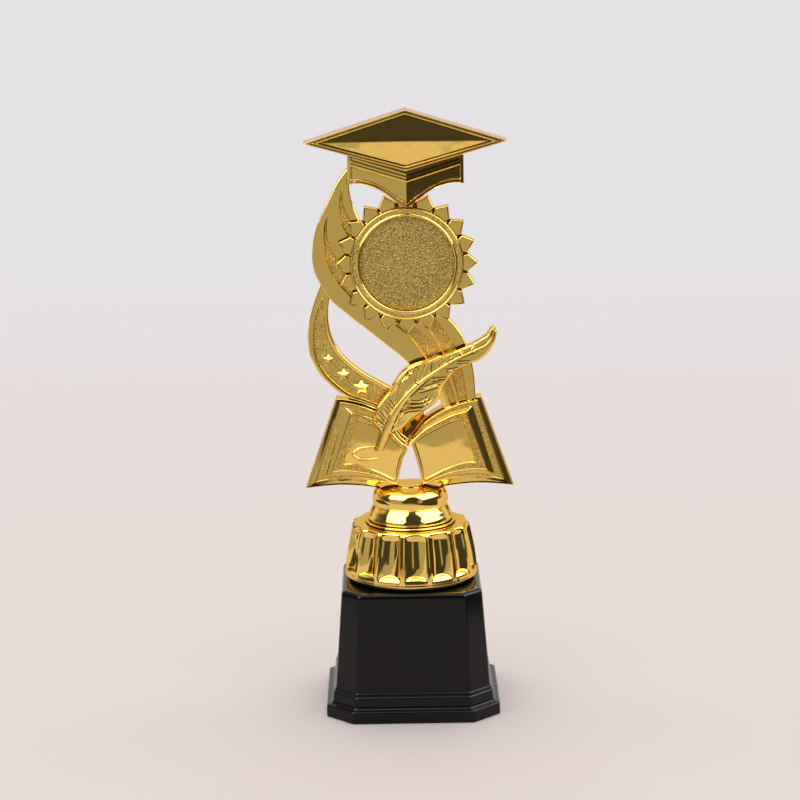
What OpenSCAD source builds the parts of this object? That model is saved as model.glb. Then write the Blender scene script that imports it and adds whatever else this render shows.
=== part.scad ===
// Column trophy: a plated relief figure on a fluted riser and a black plastic pedestal.
// Front faces -Y, +Z is up, the origin is the middle of the pedestal's underside.

/* [Pedestal] */
// Half width of the plinth at the floor
plinth_half = 37; // [34:0.5:40]
// Height of the plinth's upright side
plinth_h = 5.2; // [4:0.1:6]
// Height of the pedestal
pedestal_h = 54.5; // [53:0.5:56]
// Half width of the pedestal under its top edge
top_half = 29.7; // [29:0.1:31]
// Corner chamfer at the floor, measured along each side
chamfer_low = 11.3; // [9:0.1:12]
// Corner chamfer at the top
chamfer_high = 7.2; // [6:0.1:8]
// Wall thickness of the pedestal shell
shell_wall = 2.2; // [1.8:0.1:3]

/* [Riser] */
// Radius of the fluted dome at its lower rim
dome_r = 28.4; // [27.5:0.1:28.8]
// Number of flutes round the dome
flutes = 15; // [12:1:18]
// Radius of the tool that hollows each flute
flute_r = 6.6; // [6.2:0.1:7]
// Height of the dome's flat shoulder above the floor
dome_top = 79; // [78.5:0.1:79.5]
// Height of the collar's top above the floor
collar_top = 94.3; // [94:0.1:94.5]

/* [Book] */
// Half width of the open book at its lower corners
book_half_low = 44.6; // [43:0.1:46]
// Half width of the open book at its upper corners
book_half_high = 30.9; // [29.5:0.1:31.5]
// Height of the book's lower outer corners
book_low_z = 94.5; // [94.5:0.1:95.5]
// Height of the book's upper outer corners
book_high_z = 133.7; // [133.5:0.1:134.5]

/* [Rosette] */
// Height of the rosette's centre
rosette_z = 191.6; // [191:0.1:192]
// Number of petals
petals = 20; // [16:1:24]
// Radius at the petals' tips
petal_r = 30.2; // [29.5:0.1:30.5]
// Outer radius of the raised ring
ring_r = 23.4; // [23:0.1:23.6]
// Radius of the recess that takes the disc
recess_r = 19.9; // [19:0.1:20]

/* [Cap] */
// Half width of the mortarboard
board_half = 42.3; // [41:0.1:43]
// Height of the mortarboard's side corners
board_mid_z = 242.7; // [242:0.1:243]
// Height of the top of the trophy
board_top_z = 256; // [255.5:0.1:256.5]
// Height of the mortarboard's lower corner
board_low_z = 230.9; // [230.5:0.1:231.5]
// Half width of the cap's crown
crown_half = 24.2; // [23.5:0.1:24.5]

/* [Fixing] */
// Radius of the tie bolt's shank
bolt_r = 2.4; // [2.2:0.05:2.5]
// Radius of the clearance holes round the bolt
bolt_hole_r = 2.75; // [2.7:0.05:3]
// Radius of the figure's locating pegs
peg_r = 1.5; // [1.2:0.1:1.6]
// Radial clearance of a peg in its hole
peg_gap = 0.05; // [0.03:0.01:0.1]

/* [Hidden] */
$fn = 64;
eps = 0.01;

// Front and back planes of each layer of the figure, along Y
ribbon_front = -3;
ribbon_back = 3;
star_front = -2.5;
star_back = 2.5;
cover_front = -4;
cover_back = 4;
page_front = -7;
page_back = -4.05;
quill_front = -9.2;
quill_back = -3.1;
rosette_back = -3.05;
petal_front = -7;
ring_front = -9.2;
recess_floor = -6.8;
crown_back = -3.1;
board_back = -7.05;
board_skirt = 3;
board_front = -13;

gold = [0.83, 0.62, 0.2];
gold_grain = [0.72, 0.58, 0.28];
gloss_black = [0.06, 0.06, 0.06];
steel = [0.62, 0.63, 0.65];
plaster = [0.85, 0.83, 0.78];

// ---------- shared curves and shapes ----------

// One span of a curve through p1 and p2, with p0 and p3 as their neighbours
function span_point(p0, p1, p2, p3, t) =
    0.5 * (2 * p1 + (p2 - p0) * t + (2 * p0 - 5 * p1 + 4 * p2 - p3) * t * t
           + (3 * p1 - p0 - 3 * p2 + p3) * t * t * t);

// A smooth open curve through the points of p, with n steps in each span
function curve(p, n = 5) = concat(
    [for (i = [0 : len(p) - 2], k = [0 : n - 1])
        span_point(p[max(i - 1, 0)], p[i], p[i + 1], p[min(i + 2, len(p) - 1)], k / n)],
    [p[len(p) - 1]]);

function reversed(p) = [for (i = [len(p) - 1 : -1 : 0]) p[i]];
function mirrored(p) = [for (q = p) [-q[0], q[1]]];

// The outline of a strip that follows the points of p, from half width w0 to half width w1
function unit(v) = v / norm(v);
function side_of(p, i) =
    let (d = unit(p[min(i + 1, len(p) - 1)] - p[max(i - 1, 0)])) [-d[1], d[0]];
function strip_half(p, i, w0, w1) = w0 + (w1 - w0) * i / (len(p) - 1);
function strip(p, w0, w1) = concat(
    [for (i = [0 : len(p) - 1]) p[i] + side_of(p, i) * strip_half(p, i, w0, w1)],
    [for (i = [len(p) - 1 : -1 : 0]) p[i] - side_of(p, i) * strip_half(p, i, w0, w1)]);

// A flat outline in the XZ plane, given as [x, z], made solid between two planes along Y
module upright(points, front, back) {
    translate([0, back, 0])
        rotate([90, 0, 0])
            linear_extrude(back - front)
                polygon(points);
}

// A round peg or hole along Y
module peg(x, z, front, back, r) {
    translate([x, back, z])
        rotate([90, 0, 0])
            cylinder(r = r, h = back - front);
}

// A round solid or hole along Z
module post(r, low, high) {
    translate([0, 0, low])
        cylinder(r = r, h = high - low);
}

// A square stack with chamfered corners; profile lists [half width, height] from the floor up
function chamfer_at(half) =
    chamfer_high + (half - top_half) * (chamfer_low - chamfer_high) / (plinth_half - top_half);
function octagon(half, z) = let (c = half - chamfer_at(half))
    [[half, c, z], [c, half, z], [-c, half, z], [-half, c, z],
     [-half, -c, z], [-c, -half, z], [c, -half, z], [half, -c, z]];

module chamfered_stack(profile) {
    last = 8 * (len(profile) - 1);
    polyhedron(
        points = [for (p = profile, q = octagon(p[0], p[1])) q],
        faces = concat(
            [[for (i = [0 : 7]) i], [for (i = [7 : -1 : 0]) last + i]],
            [for (k = [0 : len(profile) - 2], i = [0 : 7])
                [8 * k + i, 8 * k + 8 + i, 8 * k + 8 + (i + 1) % 8, 8 * k + (i + 1) % 8]]));
}

// ---------- pedestal ----------

deck_t = 2.5;
cove_top = 7.1;
step_low = 11.4;
step_high = 13;
cover_t = 2;
cover_recess = 0.6;

module base_shell() {
    outer = [[plinth_half, 0], [plinth_half, plinth_h], [plinth_half - 0.6, plinth_h + 0.5],
             [34.4, cove_top], [34.1, step_low - 0.4], [33.6, step_low], [33.5, step_high - 0.2],
             [33, step_high + 0.1], [top_half, pedestal_h - 0.8], [top_half - 0.8, pedestal_h]];
    inner = [[plinth_half - shell_wall, -1], [plinth_half - shell_wall, 4],
             [33.2 - shell_wall, 12], [top_half - shell_wall, pedestal_h - deck_t]];
    color(gloss_black)
        difference() {
            chamfered_stack(outer);
            chamfered_stack(inner);
            post(bolt_hole_r, pedestal_h - deck_t - 1, pedestal_h + 1);
        }
}

module bottom_cover() {
    plate = plinth_half - shell_wall - 0.1;
    tab = [1.4, 12, 5];
    color(gloss_black)
        union() {
            chamfered_stack([[plate, cover_recess], [plate, cover_recess + cover_t]]);
            for (a = [0 : 90 : 270])
                rotate([0, 0, a])
                    translate([plate - 3, -tab[1] / 2, cover_recess + cover_t - eps])
                        cube(tab);
        }
}

module ballast_block() {
    low = cover_recess + cover_t;
    color(plaster)
        difference() {
            chamfered_stack([[29, low], [29, 12], [27.2, 34]]);
            post(9, 26, 40);
        }
}

washer_t = 1.2;
head_h = 3.2;
bolt_seat = pedestal_h - deck_t - washer_t;
nut_low = dome_top + 0.9;
nut_t = 4;

module tie_bolt() {
    hex_key_r = 2;
    color(steel)
        union() {
            translate([0, 0, bolt_seat - head_h])
                difference() {
                    cylinder(r = 4.6, h = head_h, $fn = 6);
                    translate([0, 0, -1]) cylinder(r = hex_key_r, h = 2.6, $fn = 6);
                }
            post(bolt_r, bolt_seat - eps, nut_low + nut_t + 3);
        }
}

module tie_washer() {
    color(steel)
        difference() {
            post(9, bolt_seat, bolt_seat + washer_t);
            post(bolt_hole_r, bolt_seat - 1, bolt_seat + washer_t + 1);
        }
}

module foot_nut() {
    color(steel)
        difference() {
            translate([0, 0, nut_low]) cylinder(r = 4.6, h = nut_t, $fn = 6);
            post(bolt_r + 0.05, nut_low - 1, nut_low + nut_t + 1);
        }
}

// ---------- riser ----------

rim_low = pedestal_h;
flute_depth = 2.4;
flute_lean = 6.5;
flute_turn = 4;
ledge_low = 58.8;

module fluted_dome() {
    body_r = 28.2;
    lid_t = 2.4;
    body = concat([[0, ledge_low - 1], [body_r, ledge_low - 1]],
                  curve([[body_r, ledge_low], [27.7, 64], [27, 68.8], [26.1, 73.4], [25.3, 77],
                         [24.9, dome_top - 0.7]], 4),
                  [[24, dome_top], [0, dome_top]]);
    ring = concat([[0, rim_low], [dome_r - 2.4, rim_low]],
                  curve([[dome_r - 2.4, rim_low], [dome_r - 1, rim_low + 0.8], [dome_r - 0.1, rim_low + 2],
                         [dome_r, rim_low + 2.6], [dome_r - 0.6, ledge_low]], 4),
                  [[25.2, ledge_low + 1.8], [24, ledge_low + 1.8], [24, 60.6], [0, 60.6]]);
    inner = [[0, rim_low - 1], [23.6, rim_low - 1], [23.2, 62], [21, 73], [19.8, dome_top - lid_t],
             [0, dome_top - lid_t]];
    color(gold)
        difference() {
            union() {
                difference() {
                    rotate_extrude() polygon(body);
                    for (i = [0 : flutes - 1])
                        rotate([0, 0, i * 360 / flutes - 90 + flute_turn])
                            translate([body_r + flute_r - flute_depth, 0, ledge_low])
                                rotate([0, -flute_lean, 0])
                                    translate([0, 0, -4])
                                        cylinder(r = flute_r, h = 34);
                }
                rotate_extrude() polygon(ring);
            }
            rotate_extrude() polygon(inner);
            post(bolt_hole_r, 70, 90);
        }
}

spigot_r = 8;
foot_r = 12;
foot_t = 2;

module neck_collar() {
    wall = 2;
    seat = collar_top - foot_t;
    bore = spigot_r + 0.2;
    outer = concat([[bore, dome_top], [18.6, dome_top]],
                   curve([[18.6, dome_top], [19.3, dome_top + 0.4], [19.1, dome_top + 0.8],
                          [18, dome_top + 1.1]], 4),
                   curve([[17.8, dome_top + 1.2], [18.2, 81.2], [18, 82.2], [17, 84.4], [16, 86.5],
                          [15.6, 87]], 4),
                   curve([[15.7, 87.4], [16.1, 88.6], [16.1, 90.2], [15.7, 92], [14.8, 93.5],
                          [13.2, collar_top]], 4),
                   [[foot_r + 0.05, collar_top], [foot_r + 0.05, seat], [bore, seat]]);
    hollow = [[bore + wall, dome_top + 2], [18.2 - wall, dome_top + 2], [18.2 - wall, 82],
              [15.6 - wall, 87], [15.2 - wall, seat - wall], [bore + wall, seat - wall]];
    color(gold)
        difference() {
            rotate_extrude() polygon(outer);
            rotate_extrude() polygon(hollow);
        }
}

// ---------- open book ----------

boss_r = 6.8;
boss_t = 1.5;
gap_half = 6.2;
gap_low = 93.2;
gap_top = 116;

// Right-hand edges of the book, from the spine outwards
function book_low_edge() = curve([[5.4, 95.6], [7.4, 94.8], [9.8, 94.4], [13.6, 94.4], [18, 94.9],
                                  [24, 95.6], [30, 95.8], [38, 95.4], [book_half_low, book_low_z]], 3);
function book_high_edge() = curve([[book_half_high, book_high_z], [24, 132.7], [16, 130.1], [8, 125.8],
                                   [3, 121.2]], 3);
function half_book() = concat([[0, 96]], book_low_edge(), book_high_edge(), [[0, 118]]);

// Page outlines, each from the spine's foot round to the spine's head
function page_edge() = concat(
    curve([[5.5, 96.2], [10, 97.3], [16, 98.5], [24, 99.3], [32, 98.9], [40.3, 97.5]], 3),
    curve([[29.1, 132.5], [22, 131.1], [15, 128.5], [8, 124.3], [3, 119.8]], 3),
    [[0.6, 117]]);
function page_block() = concat(
    curve([[5.6, 97.2], [10, 99], [16, 100.9], [24, 102.2], [32.8, 102]], 3),
    curve([[24.3, 127.6], [18, 125.8], [12, 122.9], [6, 119.2], [1.1, 116.2]], 3));
function page_panel() = concat(
    curve([[6.2, 99.2], [10, 101], [16, 103.2], [22, 104.6], [28.2, 105.3]], 3),
    curve([[21.6, 124.6], [16, 122.8], [10, 119.9], [5, 117.1], [1.9, 115.6]], 3));

// Where the ribbon's tenon enters the top of the book
tenon = [16.8, 27.2];
tenon_front = -2;
tenon_back = 2;
tenon_low = 112;
page_pegs = [[12, 110], [27, 114]];

module book_cover() {
    gap = [[-gap_half, gap_low], [gap_half, gap_low], [0, gap_top]];
    leg = [[7.8, collar_top - 1], [11, collar_top - 1], [11, 97], [7.8, 97]];
    core = [[9, 99], [38, 99], [27.5, 128.5], [14, 122.5], [4, 116]];
    color(gold)
        difference() {
            union() {
                difference() {
                    union() {
                        upright(half_book(), cover_front, cover_back);
                        upright(mirrored(half_book()), cover_front, cover_back);
                    }
                    upright(gap, -20, 20);
                }
                upright(leg, cover_front, cover_back);
                upright(mirrored(leg), cover_front, cover_back);
                post(foot_r, collar_top - foot_t, collar_top);
                post(boss_r, collar_top - eps, collar_top + boss_t);
                post(spigot_r, nut_low, collar_top - eps);
            }
            for (side = [0, 1])
                mirror([side, 0, 0])
                    difference() {
                        upright(core, 0.5, 10);
                        upright([[13.5, 90], [29.5, 90], [29.5, 140], [13.5, 140]], -5, 12);
                    }
            translate([tenon[0], tenon_front - 0.05, tenon_low])
                cube([tenon[1] - tenon[0], tenon_back - tenon_front + 0.1, 40]);
            post(bolt_r + 0.3, nut_low - 1, nut_low + nut_t + 4);
            translate([0, 0, nut_low - 1]) cylinder(r = 4.65, h = nut_t + 1, $fn = 6);
            for (side = [-1, 1], p = page_pegs)
                peg(side * p[0], p[1], cover_front - 1, cover_front + 2, peg_r + peg_gap);
        }
}

module page_stack() {
    color(gold)
        union() {
            difference() {
                union() {
                    upright(page_edge(), page_back - 1.4, page_back);
                    upright(page_block(), page_front, page_back);
                }
                upright(page_panel(), page_front - 1, page_front + 0.5);
            }
            for (p = page_pegs)
                peg(p[0], p[1], page_back - 1, cover_front + 1.8, peg_r);
        }
}

module right_pages() {
    page_stack();
}

// The left page also carries the raised stroke that the pen has just written
module left_pages() {
    stroke_out = curve([[-13.6, 108.4], [-18, 107.2], [-22.5, 107.9], [-24.6, 110.2], [-22, 112.7],
                        [-18, 113.5], [-14.4, 113.6]], 4);
    stroke_in = curve([[-14.4, 112.6], [-18, 112.5], [-21.4, 111.8], [-23.4, 110.2], [-21.9, 108.9],
                       [-18, 108.3], [-13.6, 109.4]], 4);
    union() {
        mirror([1, 0, 0]) page_stack();
        color(gold)
            upright(concat(stroke_out, stroke_in), page_front, page_front + 1);
    }
}

// ---------- quill ----------

quill_pegs = [[-3, 132.4], [17.5, 147]];
quill_face = -8.4;

function vane_outline() = concat(
    curve([[-10.2, 121.2], [-13.2, 121.6], [-15.2, 124.4], [-14.2, 128.6], [-12.4, 132.2], [-9.6, 135.6],
           [-7.2, 139.6], [-4.4, 144], [0, 147.2], [6, 149.6], [12, 151.4], [18, 153.2], [24, 155.4],
           [29, 157.6], [33, 160], [35.2, 162.8], [36.4, 164.2]], 3),
    curve([[37.3, 162.6], [37, 159.3], [35.8, 155.6], [33.2, 152], [30, 149.4], [26.5, 148.1],
           [22, 147.2], [18.3, 145], [15.8, 141.5], [13.6, 138], [12, 134], [9, 130.4], [4.6, 127],
           [0, 123.4], [-4, 119.8], [-8, 118.4]], 3));
// The quill's middle rib, from the feather's tip down to the cut point of the nib
function rachis() = curve([[34, 157.6], [28, 154.2], [22, 151.3], [16, 148.2], [10, 144.3], [4, 139.2],
                           [-1, 134], [-5, 129], [-8, 124.2], [-10.3, 118.4], [-12, 113.6]], 3);
function nib() = [[-10.7, 114], [-13.2, 114.2], [-14.6, 111.4], [-14.1, 107.8], [-13.2, 107.8],
                  [-11.6, 110.6]];
// Barbs: narrow V grooves from the vane's edge in towards the rib
barbs = [[-4.5, 143.6, 52], [1, 147, 44], [8, 149.6, 32], [15.5, 151.8, 28], [23, 154.3, 28],
         [29.6, 157.6, 36], [-10.6, 133.6, 68], [33.6, 152.6, 215], [27, 148.4, 208], [19.4, 146, 214],
         [13.6, 138.4, 232], [8.6, 130.2, 225], [1.6, 124.8, 222]];

module quill_pen() {
    color(gold)
        union() {
            difference() {
                upright(vane_outline(), quill_face, page_front - 0.05);
                for (b = barbs)
                    translate([b[0], 0, b[1]])
                        rotate([0, 180 - b[2], 0])
                            upright([[-1.5, 0.45], [3.6, 0], [-1.5, -0.45]], quill_face - 1, quill_face + 0.7);
            }
            upright(strip(rachis(), 0.5, 1.35), quill_front, page_front - 0.05);
            upright(nib(), quill_front, page_front - 0.05);
            difference() {
                upright(vane_outline(), page_front - 0.1, quill_back);
                for (side = [0, 1])
                    mirror([side, 0, 0])
                        upright(concat([[-1, 90]], half_book(), [[-1, 122.4]]), page_front - 1, 5);
            }
            for (p = quill_pegs)
                peg(p[0], p[1], quill_back - 1, -0.2, peg_r);
        }
}

// ---------- ribbons ----------

// Outer edge of the big ribbon, from behind the cap round the left to the top of the book
function swirl_outer() = concat(
    [[-16, 235.5], [-20.5, 235.2]],
    curve([[-24.3, 231.4], [-28.8, 226], [-33, 218], [-36.8, 210], [-39.4, 202], [-40.3, 195],
           [-39.6, 189.5], [-36.5, 182.6], [-32.6, 176.4], [-27, 170.8], [-20, 164.5], [-12, 157.8],
           [-4, 151], [2, 145.8], [8, 140], [12.4, 134.6], [14.8, 129.4]], 4));
// Inner edge, from the book back up to the cap
function swirl_inner() = concat(
    curve([[28.4, 131], [28.4, 136], [28.1, 142.5], [27.2, 149], [25.2, 155.4], [22, 161.6], [18.3, 167.5],
           [12, 171], [2, 172.5], [-6, 176.5], [-11, 183], [-13, 191], [-15, 200], [-18, 206.4],
           [-20.6, 211.4], [-22.2, 216], [-23.2, 221], [-23.8, 225.6]], 4),
    [[-16, 228.2]]);

// Sunk, grained bands on the big ribbon's front: two below the rosette and one over the book
function low_band() = concat(curve([[0.4, 160], [4.2, 155.6], [7, 151.6], [9.8, 146.4]], 4),
                             curve([[16.4, 146.4], [13.4, 152], [8.6, 157.8], [3.4, 162.8]], 4));
function high_band() = concat(curve([[9.4, 162.4], [12.6, 158], [15.6, 152.2], [18.4, 145.8]], 4),
                              curve([[22.6, 148.6], [20, 155], [16.4, 161.4], [12.6, 166.8]], 4));
function leaf_slit() = concat(curve([[-34.3, 206.4], [-34.8, 200], [-34.2, 194.6], [-32, 187.6], [-28.2, 181.8]], 5),
                              curve([[-26.4, 184], [-29.6, 191], [-32.2, 198.6], [-33.6, 204]], 5));
// Half lap where the star ribbon's tongue lies in the back of the big ribbon
lap_pocket = [[-36.6, 182.9], [-32.6, 176.3], [-29.6, 178.6], [-32.9, 185.6]];
lap_tongue = [[-36.5, 182.6], [-32.7, 176.5], [-29.8, 178.7], [-33, 185.3]];
rosette_pegs = [[-17.5, 190.5], [1, 176.3]];
crown_peg = [-19.6, 231.4];
petal_peg_z = 218;

module swirl_ribbon() {
    lap = 0.8;
    color(gold)
        difference() {
            union() {
                upright(concat(swirl_outer(), swirl_inner()), ribbon_front, ribbon_back);
                translate([tenon[0] + 0.05, tenon_front, tenon_low + 0.3])
                    cube([tenon[1] - tenon[0] - 0.1, tenon_back - tenon_front, 24]);
            }
            difference() {
                upright(half_book(), ribbon_front - 1, ribbon_back + 1);
                translate([tenon[0] + 0.05, tenon_front, tenon_low])
                    cube([tenon[1] - tenon[0] - 0.1, tenon_back - tenon_front, 40]);
            }
            upright(low_band(), ribbon_front - 1, ribbon_front + lap);
            upright(high_band(), ribbon_front - 1, ribbon_front + lap);
            upright(leaf_slit(), ribbon_front - 1, ribbon_front + lap);
            upright(lap_pocket, 0, ribbon_back + 1);
            for (p = rosette_pegs)
                peg(p[0], p[1], ribbon_front - 1, ribbon_front + 3, peg_r + peg_gap);
            peg(crown_peg[0], crown_peg[1], ribbon_front - 1, ribbon_front + 3, peg_r + peg_gap);
            peg(quill_pegs[1][0], quill_pegs[1][1], ribbon_front - 1, ribbon_front + 3, peg_r + peg_gap);
        }
}

function star_outer() = curve([[-36.35, 182.4], [-39.4, 174.4], [-41.6, 166.4], [-42.2, 159.6], [-41.2, 151.6],
                               [-38, 144.8], [-33, 139], [-27.4, 134.6], [-20.5, 131.8], [-13, 128.6],
                               [-9, 126.8]], 4);
function star_inner() = curve([[4, 132.4], [-1, 134.6], [-7.2, 137.6], [-12, 140.3], [-18.5, 144.2],
                               [-24.5, 148.8], [-29.4, 154.4], [-32.5, 161.5], [-33.5, 169.5],
                               [-32.75, 176.6]], 4);
function star_band() = concat(
    curve([[-36.3, 175.6], [-38.9, 168], [-39.6, 160.6], [-38.9, 152.4], [-36, 146.2], [-31.2, 141],
           [-25.6, 136.6], [-18.4, 133.1], [-11, 129.9]], 4),
    curve([[-5.4, 134.6], [-10.4, 138.2], [-17.4, 142.4], [-23, 146.6], [-28, 151.4], [-32.6, 157.2],
           [-35, 163], [-35.6, 169]], 4));
stars = [[-33.7, 150.5, 2.1], [-27.4, 143.8, 2.6], [-20, 138.2, 3.2]];

function star_points(r) = [for (i = [0 : 9])
    let (a = 90 + i * 36, d = i % 2 == 0 ? r : r * 0.45) [d * cos(a), d * sin(a)]];

module star_ribbon() {
    band_depth = 0.7;
    color(gold)
        union() {
            difference() {
                upright(concat(star_outer(), star_inner()), star_front, star_back);
                upright(star_band(), star_front - 1, star_front + band_depth);
                upright(concat([[-60, 90]], [[-book_half_high, 90]], mirrored(book_high_edge()), [[0, 118], [10, 90]]),
                        star_front - 1, star_back + 1);
                upright(half_book(), star_front - 1, star_back + 1);
                peg(quill_pegs[0][0], quill_pegs[0][1], star_front - 1, 0.2, peg_r + peg_gap);
            }
            upright(lap_tongue, 0.05, star_back);
            for (s = stars)
                translate([s[0], 0, s[1]])
                    upright(star_points(s[2]), star_front - 0.2, star_front + band_depth + 0.3);
        }
}

// ---------- rosette ----------

module sun_rosette() {
    web_r = 26.2;
    kite = [[petal_r, 0], [26.6, 3.9], [22, 2], [22, -2], [26.6, -3.9]];
    color(gold)
        difference() {
            union() {
                peg(0, rosette_z, rosette_back - 1.6, rosette_back, web_r);
                peg(0, rosette_z, ring_front, rosette_back, ring_r);
                for (i = [0 : petals - 1])
                    translate([0, 0, rosette_z])
                        rotate([0, i * 360 / petals, 0])
                            upright(kite, petal_front, rosette_back);
                for (p = rosette_pegs)
                    peg(p[0], p[1], rosette_back - 1, ribbon_front + 2.8, peg_r);
            }
            peg(0, rosette_z, ring_front - 1, recess_floor, recess_r);
            peg(0, petal_peg_z, petal_front - 1, petal_front + 2, peg_r + peg_gap);
            difference() {
                peg(0, rosette_z, ring_front - 1, ring_front + 0.6, ring_r - 0.8);
                peg(0, rosette_z, ring_front - 2, ring_front + 1, recess_r + 1.1);
            }
        }
}

module medallion_disc() {
    color(gold_grain)
        peg(0, rosette_z, recess_floor - 1, recess_floor, recess_r - 0.1);
}

// ---------- cap ----------

// Lower edge of the crown, from the left corner to its point
function crown_arc() = curve([[-crown_half, 225.1], [-20, 225.3], [-16, 224.6], [-11.5, 223], [-7, 220.2],
                              [-3.2, 217.4], [0, 215.4]], 4);
board_pegs = [[-13, 242.6], [13, 242.6]];

function board_outline(inset = 0) =
    [[-board_half + 3.4 * inset, board_mid_z], [0, board_low_z + inset * 1.05],
     [board_half - 3.4 * inset, board_mid_z], [0, board_top_z - inset * 1.05]];

module cap_crown() {
    ridge = -11.6;
    side = -8.4;
    color(gold)
        difference() {
            union() {
                intersection() {
                    upright(concat(crown_arc(), reversed(mirrored(crown_arc())),
                                   [[crown_half, 237], [0, 231.2], [-crown_half, 237]]), ridge - 1, crown_back);
                    translate([0, 0, 200])
                        linear_extrude(50)
                            polygon([[-crown_half - 1, crown_back], [-crown_half - 1, side],
                                     [0, ridge], [crown_half + 1, side], [crown_half + 1, crown_back]]);
                }
                upright([[-crown_half, 236.5], [0, 226], [crown_half, 236.5], [0, 250]],
                        board_back + 0.05, crown_back);
                peg(crown_peg[0], crown_peg[1], crown_back - 1, ribbon_front + 2.8, peg_r);
            }
            upright(board_outline(-0.05), board_front - 1, board_back + 0.05);
            difference() {
                peg(0, rosette_z, petal_front - 0.05, 5, petal_r + 0.6);
                peg(0, petal_peg_z, petal_front - 1, petal_front + 1.8, peg_r);
            }
            peg(0, rosette_z, ring_front - 0.2, 5, ring_r + 0.1);
            for (p = board_pegs)
                peg(p[0], p[1], board_back - 1, board_back + 2, peg_r + peg_gap);
        }
}

// A plate with a skirt behind its rim; the skirt is open below, where the crown's tab enters
module cap_board() {
    skirt_t = 1.6;
    color(gold)
        union() {
            difference() {
                upright(board_outline(), board_front, board_back);
                upright(board_outline(1.9), board_front - 1, board_front + 0.8);
            }
            difference() {
                upright(board_outline(), board_back - eps, board_skirt);
                upright(board_outline(skirt_t), board_back - 1, board_skirt + 1);
                upright([[-crown_half - 0.4, 220], [crown_half + 0.4, 220], [crown_half + 0.4, 242],
                         [-crown_half - 0.4, 242]], board_back - 1, board_skirt + 1);
            }
            for (p = board_pegs)
                peg(p[0], p[1], board_back - 1, board_back + 1.8, peg_r);
        }
}

// ---------- one line per node ----------

base_shell();
bottom_cover();
ballast_block();
tie_bolt();
tie_washer();
foot_nut();
fluted_dome();
neck_collar();
book_cover();
left_pages();
right_pages();
quill_pen();
star_ribbon();
swirl_ribbon();
sun_rosette();
medallion_disc();
cap_crown();
cap_board();
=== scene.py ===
"""Column trophy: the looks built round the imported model.

Lengths are millimetres, but metres in the materials and the studio."""

import math

import bpy
from mathutils import Matrix, Vector, noise
from mathutils.geometry import tessellate_polygon


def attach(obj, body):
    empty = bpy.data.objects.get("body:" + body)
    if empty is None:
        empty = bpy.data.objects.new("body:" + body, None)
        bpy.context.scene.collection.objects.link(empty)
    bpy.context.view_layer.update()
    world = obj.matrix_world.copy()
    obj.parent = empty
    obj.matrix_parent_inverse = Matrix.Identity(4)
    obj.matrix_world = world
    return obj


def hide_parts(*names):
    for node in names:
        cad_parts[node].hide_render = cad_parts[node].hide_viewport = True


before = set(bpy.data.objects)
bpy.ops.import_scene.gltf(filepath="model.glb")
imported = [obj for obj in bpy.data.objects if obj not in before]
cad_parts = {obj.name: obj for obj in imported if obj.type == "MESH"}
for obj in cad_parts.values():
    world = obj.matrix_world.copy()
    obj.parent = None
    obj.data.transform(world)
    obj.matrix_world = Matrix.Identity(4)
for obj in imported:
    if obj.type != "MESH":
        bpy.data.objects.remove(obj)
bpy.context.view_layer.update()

MM = 0.001
MIRROR, GRAIN = 0, 1  # a piece's first and second look


# ---------- materials ----------

def feed(tree, node, **inputs):
    """Gives a node's inputs values, or other nodes' outputs. In an input's name, _ stands for a space."""
    for name, value in inputs.items():
        socket = node.inputs[name.replace("_", " ")]
        if isinstance(value, bpy.types.NodeSocket):
            tree.links.new(value, socket)
        else:
            socket.default_value = (*value, 1) if socket.type == "RGBA" else value
    return node


def add(tree, kind, **inputs):
    return feed(tree, tree.nodes.new("ShaderNode" + kind), **inputs)


def material(name, colour, metallic):
    """A new material, its node tree and its surface node."""
    made = bpy.data.materials.new(name)
    made.use_nodes = True
    tree = made.node_tree
    return made, tree, feed(tree, tree.nodes["Principled BSDF"], Base_Color=colour, Metallic=metallic)


def speckle(tree, scale, detail):
    """A noise fixed to the piece. Most of it lies between 0.3 and 0.7."""
    place = add(tree, "TexCoord").outputs["Object"]
    return add(tree, "TexNoise", Vector=place, Scale=scale, Detail=detail).outputs["Fac"]


def spread(tree, source, low, high, bottom=0.3, top=0.7):
    """The source with its range from bottom to top stretched to run from low to high."""
    stretch = add(tree, "MapRange", Value=source, From_Min=bottom, From_Max=top, To_Min=low, To_Max=high)
    return stretch.outputs["Result"]


def blend(tree, share, first, second):
    return add(tree, "MixRGB", Fac=share, Color1=first, Color2=second).outputs["Color"]


def bump(tree, height, distance, strength, **under):
    return add(tree, "Bump", Height=height, Distance=distance, Strength=strength, **under).outputs["Normal"]


GOLD = (0.97, 0.672, 0.172)
GLANCING = (0.90, 0.70, 0.42)
# Painted shade: the brown that the gold's colour takes in grooves and crevices, within this reach, by ambient
# occlusion
CREVICE_SHADE_BROWN = (0.13, 0.06, 0.012)
CREVICE_SHADE_REACH = 0.0008


def mirror_gold():
    """Vacuum plating: a mirror with the moulding's slow waves and odd dull patches. Painted shade: its colour turns
    brown in grooves, crevices and joints between pieces, by ambient occlusion.
    """
    made, tree, surface = material("gold_mirror", GOLD, 1.0)
    # Painted shade: ambient occlusion darkens the colour towards brown in grooves, crevices and between pieces
    crevice_occlusion = add(tree, "AmbientOcclusion", Distance=CREVICE_SHADE_REACH)
    crevice_occlusion.samples = 8
    unshaded_share = spread(tree, crevice_occlusion.outputs["AO"], 0, 1, 0.38, 0.92)
    waves = bump(tree, speckle(tree, 90, 1), 0.0006, 0.35)
    pores = bump(tree, speckle(tree, 1400, 2), 0.00002, 0.25, Normal=waves)
    feed(tree, surface, Base_Color=blend(tree, unshaded_share, CREVICE_SHADE_BROWN, GOLD), Specular_Tint=GLANCING,
         Roughness=spread(tree, speckle(tree, 260, 3), 0.035, 0.11), Normal=pores)
    return made


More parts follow.
